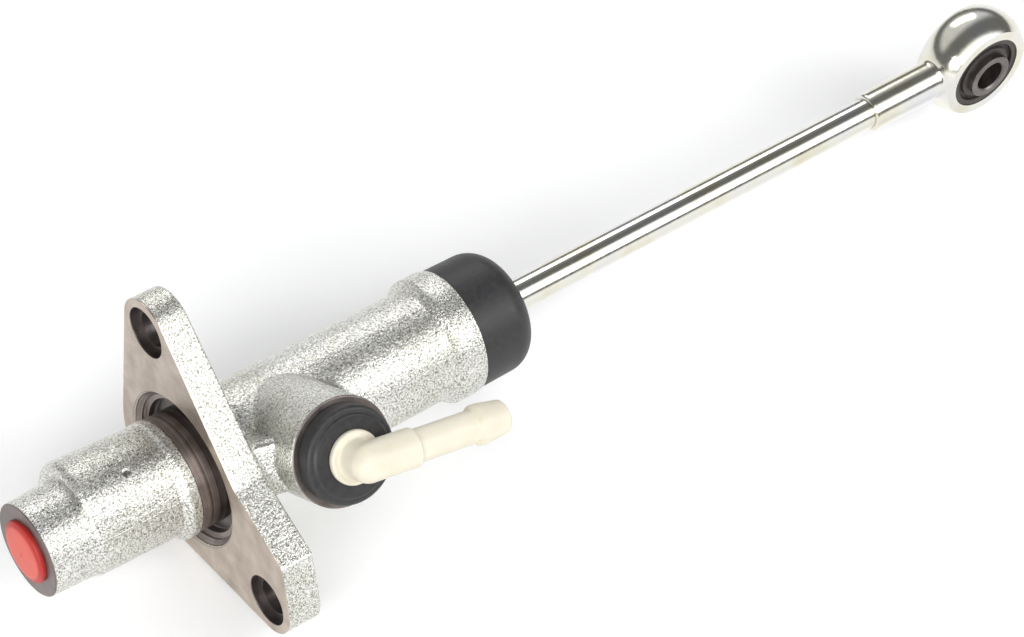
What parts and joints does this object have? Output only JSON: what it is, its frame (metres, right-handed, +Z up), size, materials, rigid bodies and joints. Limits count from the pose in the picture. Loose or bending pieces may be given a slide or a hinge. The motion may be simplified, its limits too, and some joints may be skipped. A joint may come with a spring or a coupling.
{
  "type": "clutch master cylinder",
  "caption": "Cast, zinc-plated clutch master cylinder with an angled two-bolt flange, side inlet elbow, rubber boot and a long push rod with a bushed eye.",
  "frame": {"origin": "centre of the bore in the machined mounting face of the flange", "axes": "+X along the bore axis, towards the pedal end of the push rod; the eye's pin axis is Y; +Z is up"},
  "size_m": [0.3076, 0.0684, 0.0665],
  "materials": {
    "cast_iron_plated": "rough cast, zinc plated",
    "steel_plated": "bright zinc plate",
    "steel_dark": "satin",
    "rubber_black": "satin",
    "rubber_brown": "matt",
    "nylon_cream": "satin",
    "plastic_red": "satin",
    "aluminium_piston": "turned"
  },
  "bodies": {
    "housing": {"cylinder_body": "cast_iron_plated", "outlet_port_plug": "plastic_red", "inlet_grommet": "rubber_black", "dust_boot": "rubber_black", "stop_washer": "steel_dark", "snap_ring": "steel_dark", "return_spring": "steel_dark"},
    "elbow": {"inlet_elbow": "nylon_cream"},
    "piston_group": {"piston": "aluminium_piston", "primary_cup": "rubber_black", "piston_washer": "steel_dark", "secondary_cup": "rubber_black", "spring_seat": "steel_dark"},
    "rod_group": {"push_rod": "steel_plated", "rod_eye": "steel_plated", "eye_bush": "rubber_brown"},
    "sleeve": {"bush_sleeve": "steel_dark"}
  },
  "joints": [
    {"name": "piston_stroke", "type": "slide", "parent": "housing", "child": "piston_group", "axis": [-1, 0, 0], "range_m": [0, 0.028], "stiffness_N_per_m": 1200, "springref_m": -0.004, "deforming": ["return_spring"]},
    {"name": "rod_swing", "type": "hinge", "parent": "piston_group", "child": "rod_group", "pos_m": [0.0765, 0, 0], "axis": [0, 1, 0], "range_deg": [-2, 2]},
    {"name": "sleeve_twist", "type": "hinge", "parent": "rod_group", "child": "sleeve", "pos_m": [0.248, 0, 0], "axis": [0, 1, 0], "range_deg": [-15, 15], "stiffness_Nm_per_rad": 2},
    {"name": "elbow_swivel", "type": "hinge", "parent": "housing", "child": "elbow", "pos_m": [0.0255, 0, 0], "axis": [0, -0.859, 0.512], "continuous": true}
  ]
}
